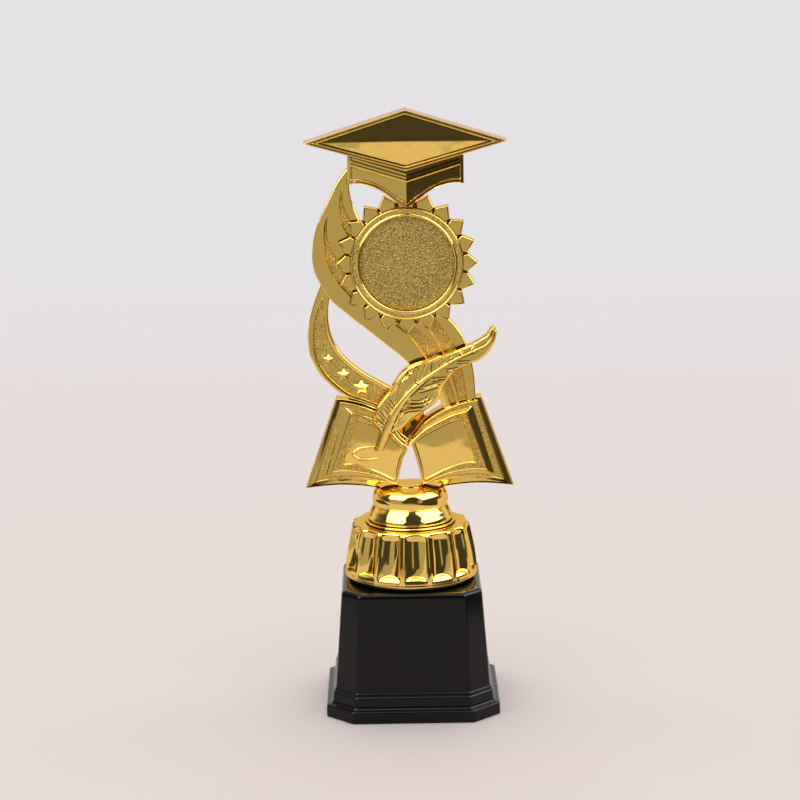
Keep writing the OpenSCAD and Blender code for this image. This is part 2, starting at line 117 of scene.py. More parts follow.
def grained_gold(name, pit, peak, low, high, pitch=1500, drift=700):
    """Plating over a fine moulded grain: pits darker than peaks; low and high bound its roughness."""
    made, tree, surface = material(name, peak, 1.0)
    grain = speckle(tree, pitch, 2)
    feed(tree, surface, Base_Color=blend(tree, spread(tree, grain, 0, 1), pit, peak), Specular_Tint=GLANCING,
         Roughness=spread(tree, speckle(tree, drift, 2), low, high), Normal=bump(tree, grain, 0.0004, 0.8))
    return made


def gloss_black():
    """Injection-moulded black plastic: glossy, with a faint orange peel and fine dust."""
    made, tree, surface = material("gloss_black", (0.004, 0.004, 0.0042), 0.0)
    feed(tree, surface, IOR=1.52, Specular_IOR_Level=0.22, Roughness=spread(tree, speckle(tree, 60, 4), 0.09, 0.18),
         Normal=bump(tree, speckle(tree, 240, 2), 0.0002, 0.12))
    return made


def dull(name, colour, metallic, grain, roughness, relief):
    """A plain material with one grain, as (scale, detail). relief is its bump's (distance, strength)."""
    made, tree, surface = material(name, colour, metallic)
    height = speckle(tree, *grain)
    feed(tree, surface, Roughness=spread(tree, height, *roughness), Normal=bump(tree, height, *relief))
    return made


mirror, black = mirror_gold(), gloss_black()
grained = grained_gold("gold_grained", (0.48, 0.30, 0.06), (0.94, 0.68, 0.19), 0.24, 0.38)
crystal = grained_gold("gold_crystal", (0.19, 0.135, 0.04), (0.76, 0.54, 0.17), 0.3, 0.45, 1900, 1700)
matte_black = dull("matte_black", (0.018, 0.018, 0.018), 0.0, (1800, 3), (0.5, 0.75), (0.0003, 0.5))
zinc_steel = dull("zinc_steel", (0.62, 0.63, 0.65), 1.0, (500, 4), (0.22, 0.42), (0.0001, 0.3))
plaster = dull("plaster", (0.78, 0.75, 0.69), 0.0, (350, 5), (0.75, 0.95), (0.0008, 0.6))


# ---------- curves ----------

def smooth(low, high, value):
    t = min(max((value - low) / (high - low), 0), 1)
    return t * t * (3 - 2 * t)


def spline(points, gap=0.8):
    """A smooth curve through the points, as points about gap apart."""
    p = [Vector(q) for q in points]
    span = [(b - a).length for a, b in zip(p, p[1:])]
    slope = [(b - a) / d for a, b, d in zip(p, p[1:], span)]
    turn = [(slope[i - 1] * span[i] + slope[i] * span[i - 1]) / (span[i - 1] + span[i])
            for i in range(1, len(span))]
    ends = [slope[0] * 1.5 - turn[0] * 0.5, slope[-1] * 1.5 - turn[-1] * 0.5] if turn else slope * 2
    tangent = [ends[0], *turn, ends[1]]
    out = []
    for i, d in enumerate(span):
        steps = max(1, round(d / gap))
        for k in range(steps):
            t = k / steps
            a, b = 2 * t ** 3 - 3 * t ** 2 + 1, t ** 3 - 2 * t ** 2 + t
            c, e = 3 * t ** 2 - 2 * t ** 3, t ** 3 - t ** 2
            out.append(a * p[i] + b * d * tangent[i] + c * p[i + 1] + e * d * tangent[i + 1])
    return out + [p[-1]]


def through(points, per_span):
    """A smooth line through the points with the same number of steps in every span."""
    p = [Vector(q) for q in points]
    out = []
    for i in range(len(p) - 1):
        a, b, c, d = p[max(i - 1, 0)], p[i], p[i + 1], p[min(i + 2, len(p) - 1)]
        for k in range(per_span):
            t = k / per_span
            out.append(0.5 * (2 * b + (c - a) * t + (2 * a - 5 * b + 4 * c - d) * t * t
                              + (3 * b - a - 3 * c + d) * t ** 3))
    return out + [p[-1]]


def spaced(points, count):
    """The same line as count points, evenly spaced along it."""
    p = [Vector(q) for q in points]
    run = [0.0]
    for a, b in zip(p, p[1:]):
        run.append(run[-1] + (b - a).length)
    out, i = [], 0
    for k in range(count):
        want = run[-1] * k / (count - 1)
        while i < len(p) - 2 and run[i + 1] < want:
            i += 1
        share = (want - run[i]) / max(run[i + 1] - run[i], 1e-9)
        out.append(p[i].lerp(p[i + 1], share))
    return out


def anticlockwise(points):
    """The loop without doubled points, running anticlockwise."""
    loop = [Vector(q) for q in points]
    loop = [q for i, q in enumerate(loop) if (q - loop[i - 1]).length > 1e-4]
    double_area = sum(a[0] * b[1] - b[0] * a[1] for a, b in zip(loop, [*loop[1:], loop[0]]))
    return loop if double_area > 0 else loop[::-1]


def inset(loop, amount):
    """The loop moved in by amount, with mitred corners."""
    out = []
    for i, q in enumerate(loop):
        before, after = (q - loop[i - 1]).normalized(), (loop[(i + 1) % len(loop)] - q).normalized()
        n0, n1 = Vector((-before[1], before[0])), Vector((-after[1], after[0]))
        out.append(q + (n0 + n1) / max(1 + n0.dot(n1), 0.12) * amount)
    return out


def eased(corners, cut, turns, along=1):
    """A loop with each corner rounded, from cut before it to cut after it, and along steps on every straight."""
    out = []
    for k, q in enumerate(corners):
        after = corners[(k + 1) % len(corners)]
        p0, p1 = q + (corners[k - 1] - q).normalized() * cut, q + (after - q).normalized() * cut
        p2 = after + (q - after).normalized() * cut
        for i in range(turns + 1):
            t = i / turns
            out.append(p0 * (1 - t) ** 2 + q * 2 * t * (1 - t) + p1 * t * t)
        out += [p1.lerp(p2, i / along) for i in range(1, along)]
    return out


# ---------- solids ----------

def quads(rings, count, closed=False, turned=False):
    """The faces between matched rings of count points; closed joins the last ring to the first."""
    out = []
    for k in range(rings if closed else rings - 1):
        n = (k + 1) % rings
        for i in range(count):
            j = (i + 1) % count
            a, b, c, d = k * count + i, k * count + j, n * count + j, n * count + i
            out.append((a, d, c, b) if turned else (a, b, c, d))
    return out


class Shells:
    """Closed shells that make up one piece, with a look for each face."""

    def __init__(self):
        self.verts, self.faces, self.looks = [], [], []

    def add(self, verts, faces, looks=MIRROR):
        base = len(self.verts)
        self.verts += [tuple(v) for v in verts]
        self.faces += [tuple(i + base for i in f) for f in faces]
        self.looks += looks if isinstance(looks, list) else [looks] * len(faces)

    def loft(self, rings, looks=MIRROR, closed=False, turned=False):
        """A skin over matched rings, which closes on itself or has a flat face at each end. Rings run anticlockwise
        seen from the last one's side, or clockwise if turned."""
        count = len(rings[0])
        faces = quads(len(rings), count, closed, turned)
        if not closed:
            first, last = tuple(range(count)), tuple(range((len(rings) - 1) * count, len(rings) * count))
            faces += [first, last[::-1]] if turned else [first[::-1], last]
        self.add([v for ring in rings for v in ring], faces, looks)

    def piece(self, node, looks, sharp=38):
        """Makes the piece that stands for a node of the frame."""
        mesh = bpy.data.meshes.new(node + "_skin")
        mesh.from_pydata([[c * MM for c in v] for v in self.verts], [], self.faces)
        for look in looks:
            mesh.materials.append(look)
        mesh.polygons.foreach_set("material_index", self.looks)
        mesh.polygons.foreach_set("use_smooth", [True] * len(mesh.polygons))
        mesh.update()
        mesh.set_sharp_from_angle(angle=math.radians(sharp))
        made = bpy.data.objects.new(node + "_skin", mesh)
        bpy.context.scene.collection.objects.link(made)
        even = made.modifiers.new("even_normals", "WEIGHTED_NORMAL")
        even.keep_sharp = True
        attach(made, "root")
        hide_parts(node)


def cap(ring, start, front):
    """Triangles that close a ring of points whose first index is start."""
    flat = [Vector((q[0], q[1], 0)) for q in ring]
    out = []
    for a, b, c in tessellate_polygon([flat]):
        faces_front = (flat[b] - flat[a]).cross(flat[c] - flat[a])[2] >= 0
        out.append((start + a, start + b, start + c) if faces_front == front else (start + a, start + c, start + b))
    return out


def plate(shells, loops, looks=None, bulge=None):
    """A solid of matched upright loops, each with its plane, from back to front; looks has one look for each gap
    between loops. The front is flat, or swells by bulge over a grid stretched between the last loop's four sides."""
    count = len(loops[0][0])
    verts = [(q[0], y, q[1]) for loop, y in loops for q in loop]
    back, side = cap(loops[0][0], 0, False), quads(len(loops), count)
    start = (len(loops) - 1) * count
    front = swell(verts, loops[-1], start, bulge) if bulge else cap(loops[-1][0], start, True)
    sides = [look for look in looks or [MIRROR] * (len(loops) - 1) for _ in range(count)]
    shells.add(verts, back + side + front, [MIRROR] * len(back) + sides + [MIRROR] * len(front))


def contour(shells, outline, profile):
    """A solid of one upright outline, with a profile that goes from back to front as (inset, plane)."""
    base = anticlockwise(outline)
    plate(shells, [(inset(base, amount), y) for amount, y in profile])


def lathe(shells, profile, sides, place=lambda x, y, h: (x, y, h), looks=MIRROR):
    """A closed solid of revolution. profile is a loop of (radius, height), or ends on the axis."""
    verts, rows = [], []
    for r, h in profile:
        if r < 1e-6:
            rows.append([len(verts)] * sides)
            verts.append(place(0, 0, h))
            continue
        rows.append([len(verts) + i for i in range(sides)])
        verts += [place(r * math.cos(2 * math.pi * i / sides), r * math.sin(2 * math.pi * i / sides), h)
                  for i in range(sides)]
    on_axis = profile[0][0] < 1e-6
    faces, marks = [], []
    for k in range(len(profile) - (1 if on_axis else 0)):
        a, b = rows[k], rows[(k + 1) % len(profile)]
        for i in range(sides):
            j = (i + 1) % sides
            quad = [a[i], a[j], b[j], b[i]]
            face = [v for n, v in enumerate(quad) if v != quad[n - 1]]
            if len(face) > 2:
                faces.append(tuple(face))
                marks.append(looks if isinstance(looks, int) else looks[k])
    shells.add(verts, faces, marks)


def pin(shells, x, z, front, back, radius=1.5, lead=0.2):
    """A round peg along Y with a small lead-in."""
    profile = [(0, -back), (radius, -back), (radius, -front - lead), (radius - lead, -front), (0, -front)]
    lathe(shells, profile, 32, lambda px, py, h: (x + px, -h, z + py))


def bead(shells, line, half, top, foot, steps):
    """A half-round ridge along a line, fading towards its closed ends."""
    rows = len(line)
    rings = []
    for i, q in enumerate(line):
        ahead = (line[min(i + 1, rows - 1)] - line[max(i - 1, 0)]).normalized()
        side = Vector((ahead[1], -ahead[0]))
        fade = min(1, math.sqrt(max(0.04, min(i, rows - 1 - i) * 0.2)))
        ring = []
        for k in range(steps + 1):
            a = math.pi * k / steps
            at = q + side * half * fade * math.cos(a)
            ring.append((at[0], foot + (top - foot) * fade * math.sin(a), at[1]))
        rings.append(ring)
    shells.loft(rings)


def ribbon(shells, guides, fronts, back):
    """A band lofted between guide lines, which run down it with the first on the left. fronts[j] gives, for each
    point along it, the front of the band between guide j and guide j + 1. Where that is sunk it is grained."""
    corner, step, back_corner, grain_depth = 0.6, 0.22, 0.3, 0.3
    arc = [math.radians(a) for a in (0, 30, 60, 90)]
    rings, looks = [], []
    for i in range(len(guides[0])):
        line, front = [g[i] for g in guides], [f[i] for f in fronts]
        across = (line[-1] - line[0]).normalized()
        section = [(line[0], back - back_corner)]
        section += [(line[0] + across * corner * (1 - math.cos(a)), front[0] + corner * (1 - math.sin(a)))
                    for a in arc]
        kinds = [MIRROR] * 5
        for j in range(1, len(line) - 1):
            before, after = (line[j] - line[j - 1]).length, (line[j + 1] - line[j]).length
            section.append((line[j] - across * min(step, before * 0.3), front[j - 1]))
            section.append((line[j] + across * min(step, after * 0.3), front[j]))
            kinds += [MIRROR, GRAIN if front[j] > front[0] + grain_depth else MIRROR]
        section += [(line[-1] - across * corner * (1 - math.cos(a)), front[-1] + corner * (1 - math.sin(a)))
                    for a in reversed(arc)]
        section += [(line[-1], back - back_corner), (line[-1] - across * back_corner, back),
                    (line[0] + across * back_corner, back)]
        kinds += [MIRROR] * 7
        rings.append([(q[0], y, q[1]) for q, y in section])
        looks += kinds
    # The last section's looks have no faces; the two end faces take their place
    shells.loft(rings, looks[:-len(rings[0])] + [MIRROR] * 2, turned=True)


# ---------- pedestal ----------

PLINTH_HALF, TOP_HALF = 37, 29.7
PLINTH_CHAMFER, TOP_CHAMFER = 11.3, 7.2
BOLT_HOLE = 2.75


def octagon(half, chamfer, corner, z, steps=5):
    """A level ring: a square with chamfered corners, each of its eight turns rounded to a radius."""
    c = half - chamfer
    turns = [(half, c), (c, half), (-c, half), (-half, c), (-half, -c), (-c, -half), (c, -half), (half, -c)]
    half_turn = math.radians(22.5)
    out = []
    for i, t in enumerate(turns):
        at = Vector(t)
        to_before = (Vector(turns[i - 1]) - at).normalized()
        to_after = (Vector(turns[(i + 1) % 8]) - at).normalized()
        reach = corner * math.tan(half_turn)
        centre = at + (to_before + to_after).normalized() * corner / math.cos(half_turn)
        start, end = at + to_before * reach - centre, at + to_after * reach - centre
        out += [centre + start.slerp(end, k / steps) * corner for k in range(steps + 1)]
    return [(q[0], q[1], z) for q in out]


def chamfer_at(half):
    """The corner chamfer shrinks as the pedestal tapers."""
    return TOP_CHAMFER + (half - TOP_HALF) * (PLINTH_CHAMFER - TOP_CHAMFER) / (PLINTH_HALF - TOP_HALF)


def base_shell():
    shells = Shells()
    outside = [(36.5, 0.0), (36.9, 0.15), (37, 0.5), (36.95, 4.5), (36.75, 5.0), (36.3, 5.25), (35.5, 5.35),
               (34.8, 5.6), (34.4, 6.1), (34.25, 6.8), (34.0, 9.9), (33.85, 10.35), (33.5, 10.55),
               (33.42, 10.8), (33.35, 11.7), (33.2, 12.0), (32.95, 12.1), (32.85, 12.4), (29.85, 52.4),
               (29.72, 53.1), (29.4, 53.75), (28.9, 54.2), (28.2, 54.45), (27.4, 54.5)]
    hole = [(BOLT_HOLE, 54.5), (BOLT_HOLE, 52.0)]
    inside = [(27.4, 52.0), (30.9, 12.0), (34.7, 4.0), (34.8, 0.0)]
    rings = [octagon(half, chamfer_at(half), 2.2, z) for half, z in outside]
    rings += [octagon(half, half * 0.586, 0.9, z) for half, z in hole]
    rings += [octagon(half, chamfer_at(half), 2.2, z) for half, z in inside]
    shells.loft(rings, closed=True)
    shells.piece("base_shell", [black], sharp=50)


def bottom_cover():
    """The clip-in plate: a recessed panel inside a raised margin, with its four clips."""
    shells = Shells()
    levels = [(34.2, 2.6), (34.7, 2.2), (34.7, 0.9), (34.4, 0.6), (31.0, 0.6), (30.4, 1.1)]
    shells.loft([octagon(half, chamfer_at(half), 2.0, z) for half, z in levels], turned=True)
    clip = [(31.7, 2.5), (33.1, 2.5), (33.1, 6.2), (32.8, 7.6), (32.1, 7.6), (31.7, 7.0)]
    for quarter in range(4):
        turn = Matrix.Rotation(quarter * math.pi / 2, 3, "Z")
        shells.loft([[turn @ Vector((x, y, z)) for x, z in clip] for y in (-6, 6)])
    shells.piece("bottom_cover", [matte_black], sharp=30)


# ---------- riser ----------

DOME_FLUTES = 15
FLUTE_DEPTH = 2.5
FLUTE_TURN = 4
FLUTE_STEPS = 40


def flute_depth(share):
    """Depth across one flute, from one ridge's middle to the next: a round channel between two lips."""
    ridge, lip, bow = 0.075, 0.12, 1.35
    u = (share - ridge) / (1 - 2 * ridge) * 2 - 1
    if abs(u) >= 1:
        return -lip * (abs(share - round(share)) / ridge) ** 2
    flat = math.sqrt(bow ** 2 - 1)
    return FLUTE_DEPTH * (math.sqrt(bow ** 2 - u * u) - flat) / (bow - flat)


def fluted_dome():
    """Flutes cut down the side, each ending on a round toe just above the rim."""
    shells = Shells()
    side = spline([(28.3, 57.6), (28.2, 60), (27.8, 64), (27.1, 68.5), (26.2, 73), (25.4, 76.8), (25.0, 78.2),
                   (24.6, 78.8), (24.0, 79.0)], 0.22)
    side += [Vector((r, 79.0)) for r in (23.2, 22.4, 21.6, 20.8, 20.2, 19.6, 18.9)]
    foot = spline([(25.9, 54.55), (26.7, 54.8), (27.6, 55.5), (28.2, 56.3), (28.45, 56.95), (28.42, 57.3)], 0.25)
    inner = [(BOLT_HOLE, 79.0), (BOLT_HOLE, 76.6), (19.8, 76.6), (21.0, 73.6), (23.2, 62.0), (23.6, 54.55)]
    around = DOME_FLUTES * FLUTE_STEPS
    toe_r, toe_z, toe_wide, toe_high = 28.25, 57.7, 2.8, 3.3
    line = [(q, False) for q in foot] + [(q, True) for q in side] + [(q, False) for q in inner]
    rings = []
    for (radius, z), fluted in line:
        ring = []
        for k in range(around):
            angle = 2 * math.pi * (k + 0.5 * FLUTE_STEPS) / around - math.pi / 2 + math.radians(FLUTE_TURN)
            r = radius
            if fluted:
                depth = flute_depth(k % FLUTE_STEPS / FLUTE_STEPS) * smooth(19.4, 22.0, r)
                up = min(max(z - toe_z, 0) / toe_high, 1)
                toe = min(radius, toe_r) - toe_wide * (1 - math.sqrt(1 - up * up))
                r = max(r - depth * (1 - 0.55 * smooth(75.5, 78.8, z)), toe)
            ring.append((r * math.cos(angle), r * math.sin(angle), z))
        rings.append(ring)
    shells.loft(rings, closed=True)
    shells.piece("fluted_dome", [mirror], sharp=60)


def neck_collar():
    shells = Shells()
    flange = spline([(18.6, 79.05), (19.15, 79.15), (19.35, 79.45), (19.2, 79.8), (18.6, 80.05),
                     (17.95, 80.15)], 0.12)
    band = spline([(17.75, 80.25), (18.1, 80.5), (18.25, 81.0), (18.1, 81.9), (17.45, 83.5), (16.7, 85.2),
                   (16.05, 86.3), (15.8, 86.7)], 0.25)
    bulge = spline([(15.8, 86.9), (16.0, 87.4), (16.15, 88.4), (16.18, 89.6), (16.05, 90.9), (15.7, 92.2),
                    (15.0, 93.4), (14.1, 94.1), (13.1, 94.4), (12.15, 94.56)], 0.25)
    bore = [(12.05, 94.5), (12.05, 92.3), (8.2, 92.3), (8.2, 79.05)]
    lathe(shells, [*flange, *band, *bulge, *bore], 160)
    shells.piece("neck_collar", [mirror], sharp=50)


# ---------- open book: the right half, which the left half mirrors ----------

WIDE, HIGH = 40, 32  # steps along a half's lower or upper edge, and up its sides


def four_sided(bottom, top):
    """One loop: a curved lower edge, a straight side, a curved upper edge and a straight side. All loops match."""
    sides = (spline(bottom, 0.4), (bottom[-1], top[0]), spline(top, 0.4), (top[-1], bottom[0]))
    return [q for side, count in zip(sides, (WIDE, HIGH, WIDE, HIGH)) for q in spaced(side, count + 1)[:-1]]


COVER = four_sided(
    [(5.6, 95.3), (7.4, 94.7), (9.8, 94.3), (13.6, 94.4), (18, 94.9), (24, 95.6), (30, 95.8), (38, 95.3),
     (44.55, 94.5)],
    [(30.9, 133.7), (24, 132.7), (16, 130.1), (8, 125.6), (3, 121.2), (-0.4, 118.9)])
PAGE_EDGE = four_sided([(5.6, 95.9), (10, 97.2), (16, 98.5), (24, 99.3), (32, 98.9), (40.3, 97.5)],
                       [(29.1, 132.5), (22, 131.1), (15, 128.5), (8, 124.3), (3, 119.8), (0.3, 117.4)])
BAND_FOOT = four_sided([(5.7, 96.5), (10, 98.0), (16, 99.7), (24, 100.8), (30, 100.9), (36.0, 100.4)],
                       [(27.0, 130.0), (20.5, 128.5), (14, 125.9), (8, 122.4), (3, 118.8), (0.5, 116.9)])
BLOCK_TOP = four_sided([(5.85, 97.0), (10, 98.8), (16, 101.0), (22, 102.2), (28, 102.8), (33.0, 102.3)],
                       [(24.4, 127.6), (18, 126.0), (12, 123.2), (7, 120.3), (3, 117.9), (0.7, 116.4)])
PANEL_LINE = four_sided([(6.5, 98.2), (10, 100.2), (15, 102.6), (20, 104.5), (24, 105.5), (28.3, 105.5)],
                        [(21.9, 125.1), (16, 123.1), (11, 120.6), (6.5, 118.1), (3.5, 116.7), (1.9, 115.8)])


def swell(verts, loop_and_plane, start, bulge):
    """Fills a four-sided loop with a grid that stands out in the middle; adds its points to verts."""
    loop, y = loop_and_plane
    low = [start + i for i in range(WIDE + 1)]
    right = [start + WIDE + i for i in range(HIGH + 1)]
    top = [start + (2 * WIDE + HIGH - i) % len(loop) for i in range(WIDE + 1)]
    left = [start + (len(loop) - i) % len(loop) for i in range(HIGH + 1)]
    at = lambda index: loop[(index - start) % len(loop)]
    grid = []
    for j in range(HIGH + 1):
        v, row = j / HIGH, []
        for i in range(WIDE + 1):
            u = i / WIDE
            if j in (0, HIGH):
                row.append(top[i] if j else low[i])
            elif i in (0, WIDE):
                row.append(right[j] if i else left[j])
            else:
                q = (at(low[i]) * (1 - v) + at(top[i]) * v + at(left[j]) * (1 - u) + at(right[j]) * u
                     - at(low[0]) * (1 - u) * (1 - v) - at(low[-1]) * u * (1 - v)
                     - at(top[0]) * (1 - u) * v - at(top[-1]) * u * v)
                row.append(len(verts))
                verts.append((q[0], y - bulge * 16 * u * (1 - u) * v * (1 - v), q[1]))
        grid.append(row)
    return [(grid[j][i], grid[j][i + 1], grid[j + 1][i + 1], grid[j + 1][i])
            for j in range(HIGH) for i in range(WIDE)]


def dipped(loop, drop, near, far):
    """A half's head dips towards the spine, by drop up to near and not at all past far."""
    return [Vector((x, z - drop * (1 - smooth(near, far, x)) * smooth(106, 117, z))) for x, z in loop]


def right_half(loop):
    return dipped(loop, 2.2, -2, 7)


def left_half(loop):
    """The mirror image, still anticlockwise and still starting at its lower left corner."""
    loop = dipped(loop, 3.6, 2.5, 11)
    return [Vector((-x, z)) for x, z in (loop[(WIDE - i) % len(loop)] for i in range(len(loop)))]


def spine_web(shells):
    """The recessed slope that joins the two halves behind the feather."""
    low_front, lean, back = -3.0, 0.41, 3.6
    outline = [(-5.2, 115.4), (0.6, 114.7), (4, 118), (6.4, 121), (6.6, 129), (0, 126.5), (-5.2, 122.5)]
    shells.loft([[(x, back, z) for x, z in outline], [(x, low_front + lean * (z - 114.4), z) for x, z in outline]])


def book_cover():
    shells = Shells()
    spine_web(shells)
    leg = [Vector(q) for q in ((8.2, 93.9), (12.6, 93.9), (13.6, 96.4), (9, 97.5), (5.7, 96.0))]
    for turn, back in ((right_half, 4.0), (left_half, 3.96)):
        board = [(0.3, back), (0, 3.7), (0, -2.45), (0.1, -2.75), (0.3, -2.9), (0.55, -2.85), (0.65, -2.65)]
        loops = [(turn(inset(COVER, amount)), y) for amount, y in board]
        for t, y in ((0.3, -3.0), (0.7, -3.6), (1.0, -4.0)):
            loops.append((turn([p.lerp(q, t) for p, q in zip(inset(COVER, 0.65), PAGE_EDGE)]), y))
        plate(shells, loops)
        contour(shells, turn(leg), [(0, 3.9), (0, -3.6), (0.3, -3.9)])
    foot_plate = [(0, 92.35), (11.8, 92.35), (11.95, 92.5), (11.95, 94.5), (11.9, 94.58), (11, 94.76), (9.5, 94.98),
                  (8, 95.15), (6.95, 95.25), (6.86, 95.25), (6.84, 95.3), (6.84, 95.72), (6.78, 95.78), (6.6, 95.8),
                  (0, 95.82)]
    lathe(shells, foot_plate, 96)
    bolt_bore, nut_pocket = 2.7, 4.65
    spigot = [(0, 87.2), (bolt_bore, 87.2), (bolt_bore, 83.95), (nut_pocket, 83.95), (nut_pocket, 79.95),
              (7.75, 79.95), (7.95, 80.15), (7.95, 92.4), (0, 92.4)]
    lathe(shells, spigot, 64)
    shells.piece("book_cover", [mirror, grained])


def leaves():
    """The slope round the page block: plain at the sides, a stack of page edges above and below."""
    loops = []
    for level in range(4):
        middle = (level + 0.7) / 4.4
        for side in (-1, 1):
            loop = []
            for i, (p, q) in enumerate(zip(BAND_FOOT, BLOCK_TOP)):
                past_top = i - WIDE - HIGH
                along = i if i <= WIDE else past_top if 0 <= past_top <= WIDE else 0
                tread = 0.008 + 0.082 * smooth(0, 3, min(along, WIDE - along))
                loop.append(p.lerp(q, middle + side * tread))
            loops.append((loop, 0, -5.72 - 0.29 * level))
    return loops


def page_half(shells, turn, sign):
    loops = [(PAGE_EDGE, 0, -4.05), (PAGE_EDGE, 0, -5.15), (PAGE_EDGE, 0.1, -5.35), (PAGE_EDGE, 0.3, -5.5),
             (PAGE_EDGE, 0.5, -5.5), (PAGE_EDGE, 0.62, -5.38), (BAND_FOOT, -0.12, -5.38), (BAND_FOOT, 0, -5.42),
             *leaves(), (BLOCK_TOP, -0.22, -6.85), (BLOCK_TOP, 0, -7.02), (BLOCK_TOP, 0.25, -7.02),
             (BLOCK_TOP, 0.36, -6.9), (PANEL_LINE, -0.3, -6.9), (PANEL_LINE, -0.12, -7.12), (PANEL_LINE, 0.12, -7.12),
             (PANEL_LINE, 0.35, -6.75), (PANEL_LINE, 0.55, -6.6), (PANEL_LINE, 0.8, -6.62)]
    looks = [*[MIRROR] * 5, GRAIN, *[MIRROR] * 13, GRAIN, *[MIRROR] * 5]
    plate(shells, [(turn(inset(loop, amount)), y) for loop, amount, y in loops], looks, bulge=0.4)
    for x, z in ((12, 110), (27, 114)):
        pin(shells, sign * x, z, -4.2, -2.2)


def right_pages():
    shells = Shells()
    page_half(shells, right_half, 1)
    shells.piece("right_pages", [mirror, grained])


def left_pages():
    shells = Shells()
    page_half(shells, left_half, -1)
    stroke = spline([(-13.9, 113.1), (-16, 113.2), (-18.6, 113), (-21.8, 112.3), (-24, 110.2), (-22.2, 108.4),
                     (-18.6, 107.7), (-16, 107.9), (-13.4, 108.5)], 0.25)
    bead(shells, stroke, 0.62, -7.5, -6.55, 8)
    shells.piece("left_pages", [mirror, grained])


# ---------- ribbons ----------

SWIRL = [  # outer edge, inner edge, where the four band lines lie between them, how far leaf and band are sunk
    ((-19, 237.5), (-15, 230.5), .20, .30, .45, .58, 0, 0),
    ((-24.5, 231.2), (-23, 227.5), .20, .30, .45, .58, 0, 0),
    ((-28.5, 225.8), (-23.5, 222.6), .20, .28, .46, .57, 0, 0),
    ((-32, 218.8), (-22.8, 218), .20, .26, .478, .576, 0, .8),
    ((-35.2, 212.4), (-21.6, 214.2), .20, .21, .56, .72, 0, 1),
    ((-38, 205.6), (-19.6, 209.5), .205, .24, .609, .815, .8, 1),
    ((-39.6, 197), (-16, 203), .225, .31, .68, .85, 1, 1),
    ((-39.2, 189.5), (-13, 194), .24, .427, .68, .85, 1, 1),
    ((-36.5, 182.5), (-11, 186), .294, .46, .68, .85, 1, 1),
    ((-32, 175.6), (-6, 179.5), .33, .49, .68, .85, 1, 1),
    ((-26, 170.2), (1, 175.5), .36, .51, .68, .85, 1, 1),
    ((-19.5, 164.8), (9, 171.8), .37, .53, .68, .85, 1, 1),
    ((-12.5, 159), (16, 168.2), .368, .53, .674, .853, 1, 1),
    ((-6, 153.8), (20.5, 163.8), .343, .53, .638, .81, 1, 1),
    ((0, 148.4), (24, 157.8), .30, .517, .592, .81, 1, 1),
    ((5, 143.4), (26.4, 151), .275, .47, .555, .78, 1, 1),
    ((9.5, 138.2), (27.8, 143.5), .25, .42, .52, .75, 1, 1),
    ((12.8, 133), (28.3, 137), .24, .40, .50, .74, 1, 1),
    ((15, 127.5), (28.4, 130.5), .24, .40, .50, .74, 1, 1)]
SWIRL_FRONT, SWIRL_BACK = -3.0, 3.0


def swirl_ribbon():
    shells = Shells()
    per_span = 14
    rows = [[Vector(outer).lerp(Vector(inner), t) for t in (0, *lines, 1)] for outer, inner, *lines, _, _ in SWIRL]
    guides = [through(line, per_span) for line in zip(*rows)]
    sunk = through([row[-2:] for row in SWIRL], per_span)
    plain = [SWIRL_FRONT] * len(sunk)
    leaf, band = ([SWIRL_FRONT + min(max(q[side], 0), 1) for q in sunk] for side in (0, 1))
    ribbon(shells, guides, [plain, leaf, plain, band, plain], SWIRL_BACK)
    contour(shells, [(16.85, 112.3), (27.15, 112.3), (27.15, 131), (16.85, 131)], [(0, 2), (0, -1.4)])
    shells.piece("swirl_ribbon", [mirror, grained])


STAR_OUTER = [(-36.35, 182.4), (-39.4, 174.4), (-41.6, 166.4), (-42.2, 159.6), (-41.2, 151.6), (-38, 144.8),
              (-33, 139), (-27.4, 134.6), (-20.5, 131.8), (-13, 128.6), (-7, 125.4)]
STAR_INNER = [(-32.75, 176.6), (-33.5, 169.5), (-32.5, 161.5), (-29.4, 154.4), (-24.5, 148.8), (-18.5, 144.2),
              (-12, 140.3), (-7.2, 137.6), (-1, 134.6), (4, 132)]
STARS = [(-33.7, 150.5, 2.4), (-27.4, 143.8, 2.9), (-20, 138.2, 3.5)]
STAR_FRONT, STAR_BACK = -2.7, 2.5


def star_ribbon():
    """Its sunk band tapers away towards the lap behind the big ribbon."""
    shells = Shells()
    outer, inner = (spaced(spline(line, 0.4), 150) for line in (STAR_OUTER, STAR_INNER))
    guides, fronts = [outer, [], [], [], [], inner], [[], [], [], [], []]
    for a, b in zip(outer, inner):
        width, height = (b - a).length, (a[1] + b[1]) / 2
        taper = 1 - smooth(170.5, 177.5, height)
        left = 3.3 - 0.9 * taper
        right = width - (width - left - 0.1) * (1 - taper) - 2.1 * taper
        for guide, at in zip(guides[1:5], (left - 0.55, left, right, right + 0.5)):
            guide.append(a.lerp(b, at / width))
        for row, sunk in zip(fronts, (0.0, 0.15, 0.15 + 0.65 * smooth(0, 0.4, taper), 0.15, 0.0)):
            row.append(STAR_FRONT + sunk)
    ribbon(shells, guides, fronts, STAR_BACK)
    contour(shells, [(-36.5, 182.6), (-32.7, 176.5), (-29.8, 178.7), (-33, 185.3)], [(0, STAR_BACK), (0, 0.1)])
    for x, z, size in STARS:
        star(shells, x, z, size)
    shells.piece("star_ribbon", [mirror, grained])


